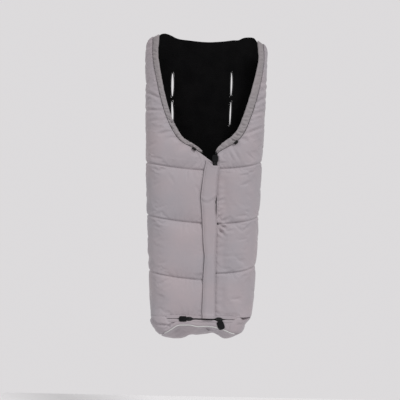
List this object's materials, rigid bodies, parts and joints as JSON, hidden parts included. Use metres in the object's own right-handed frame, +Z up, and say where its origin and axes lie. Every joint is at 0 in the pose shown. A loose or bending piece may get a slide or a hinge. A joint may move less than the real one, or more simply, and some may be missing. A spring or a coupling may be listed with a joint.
{
  "type": "stroller footmuff",
  "caption": "Padded footmuff for a pushchair: a quilted sleeve that zips open down the front and across the foot, with harness slots",
  "frame": {"origin": "on the axis of the bar that the rear loops hang on, midway between the loops", "axes": "+Z up towards the hood, -Y out of the front, +X to the viewer's right when facing the front"},
  "size_m": [0.408, 0.161, 1.0023],
  "materials": {
    "shell_cloth": "fine woven water-repellent polyester, matt with a slight sheen",
    "casing_cloth": "the same woven cloth, doubled and gathered on an elastic",
    "fleece": "short black polar fleece, matt",
    "filling": "white polyester wadding",
    "webbing": "black polypropylene webbing and binding",
    "zip_tape": "black woven zip tape",
    "zip_teeth": "black moulded acetal",
    "zip_metal": "black enamelled zinc",
    "grip_rubber": "soft black moulded rubber with ribs",
    "elastic": "black elastic cord",
    "cord_stop_plastic": "black moulded plastic",
    "piping": "pale silver reflective piping",
    "antislip": "black cloth with rubber dots"
  },
  "bodies": {
    "back": {"back_shell": "shell_cloth", "back_wadding": "filling", "back_lining": "fleece", "antislip_panel": "antislip", "rear_loop_left": "webbing", "rear_loop_right": "webbing", "slot_binding_upper_left": "webbing", "slot_binding_upper_right": "webbing", "slot_binding_lower_left": "webbing", "slot_binding_lower_right": "webbing"},
    "left_cover": {"left_cover_shell": "shell_cloth", "left_cover_wadding": "filling", "left_cover_lining": "fleece", "left_hem_casing": "casing_cloth", "left_hem_elastic": "elastic", "left_cord_stop": "cord_stop_plastic", "main_zip_tape_left": "zip_tape", "main_zip_teeth_left": "zip_teeth", "foot_zip_tape_left": "zip_tape", "foot_zip_teeth_upper_left": "zip_teeth"},
    "right_cover": {"right_cover_shell": "shell_cloth", "right_cover_wadding": "filling", "right_cover_lining": "fleece", "right_hem_casing": "casing_cloth", "right_hem_elastic": "elastic", "right_cord_stop": "cord_stop_plastic", "main_zip_tape_right": "zip_tape", "main_zip_teeth_right": "zip_teeth", "main_zip_stop": "zip_metal", "foot_zip_tape_right": "zip_tape", "foot_zip_teeth_upper_right": "zip_teeth"},
    "wind_flap": {"zip_flap": "shell_cloth"},
    "main_slider": {"main_zip_slider": "zip_metal"},
    "main_pull": {"main_zip_pull_link": "zip_metal", "main_zip_pull_grip": "grip_rubber"},
    "foot_section": {"foot_band_shell": "shell_cloth", "foot_band_wadding": "filling", "foot_band_lining": "fleece", "sole_shell": "shell_cloth", "sole_wadding": "filling", "sole_lining": "fleece", "foot_piping": "piping", "foot_zip_tape_lower": "zip_tape", "foot_zip_teeth_lower_left": "zip_teeth", "foot_zip_teeth_lower_right": "zip_teeth"},
    "foot_slider_left": {"foot_zip_slider_left": "zip_metal"},
    "foot_slider_right": {"foot_zip_slider_right": "zip_metal"},
    "foot_pull_left": {"foot_zip_pull_left_link": "zip_metal", "foot_zip_pull_left_grip": "grip_rubber"},
    "foot_pull_right": {"foot_zip_pull_right_link": "zip_metal", "foot_zip_pull_right_grip": "grip_rubber"}
  },
  "joints": [
    {"name": "left_cover_opens", "type": "hinge", "parent": "back", "child": "left_cover", "pos_m": [-0.203, -0.0301, 0], "axis": [0.0419, 0, -0.9991], "range_deg": [0, 95], "deforming": ["main_zip_tape_left", "main_zip_teeth_left", "foot_zip_tape_left", "foot_zip_teeth_upper_left"]},
    {"name": "right_cover_opens", "type": "hinge", "parent": "back", "child": "right_cover", "pos_m": [0.203, -0.0301, 0], "axis": [0.0419, 0, 0.9991], "range_deg": [0, 95], "deforming": ["main_zip_tape_right", "main_zip_teeth_right", "foot_zip_tape_right", "foot_zip_teeth_upper_right"]},
    {"name": "wind_flap_lifts", "type": "hinge", "parent": "right_cover", "child": "wind_flap", "pos_m": [0.045, -0.1354, -0.6325], "axis": [0, 0, 1], "range_deg": [0, 150], "deforming": ["zip_flap"]},
    {"name": "main_slider_runs", "type": "slide", "parent": "right_cover", "child": "main_slider", "axis": [0, 0, -1], "range_m": [0, 0.4672]},
    {"name": "main_pull_swings", "type": "hinge", "parent": "main_slider", "child": "main_pull", "pos_m": [0.034, -0.1395, -0.3895], "axis": [1, 0, 0], "range_deg": [0, 150]},
    {"name": "foot_section_drops", "type": "hinge", "parent": "back", "child": "foot_section", "pos_m": [0, -0.0301, -0.962], "axis": [1, 0, 0], "range_deg": [0, 75], "deforming": ["foot_zip_tape_lower", "foot_zip_teeth_lower_left", "foot_zip_teeth_lower_right"]},
    {"name": "foot_slider_left_runs", "type": "slide", "parent": "foot_section", "child": "foot_slider_left", "axis": [-1, 0, 0], "range_m": [0, 0.05]},
    {"name": "foot_slider_right_runs", "type": "slide", "parent": "foot_section", "child": "foot_slider_right", "axis": [1, 0, 0], "range_m": [0, 0.036]},
    {"name": "foot_pull_left_swings", "type": "hinge", "parent": "foot_slider_left", "child": "foot_pull_left", "pos_m": [-0.04, -0.1395, -0.8905], "axis": [0, 0, 1], "range_deg": [0, 150]},
    {"name": "foot_pull_right_swings", "type": "hinge", "parent": "foot_slider_right", "child": "foot_pull_right", "pos_m": [0.056, -0.1395, -0.8905], "axis": [-0.9397, 0, -0.342], "range_deg": [0, 150]}
  ]
}
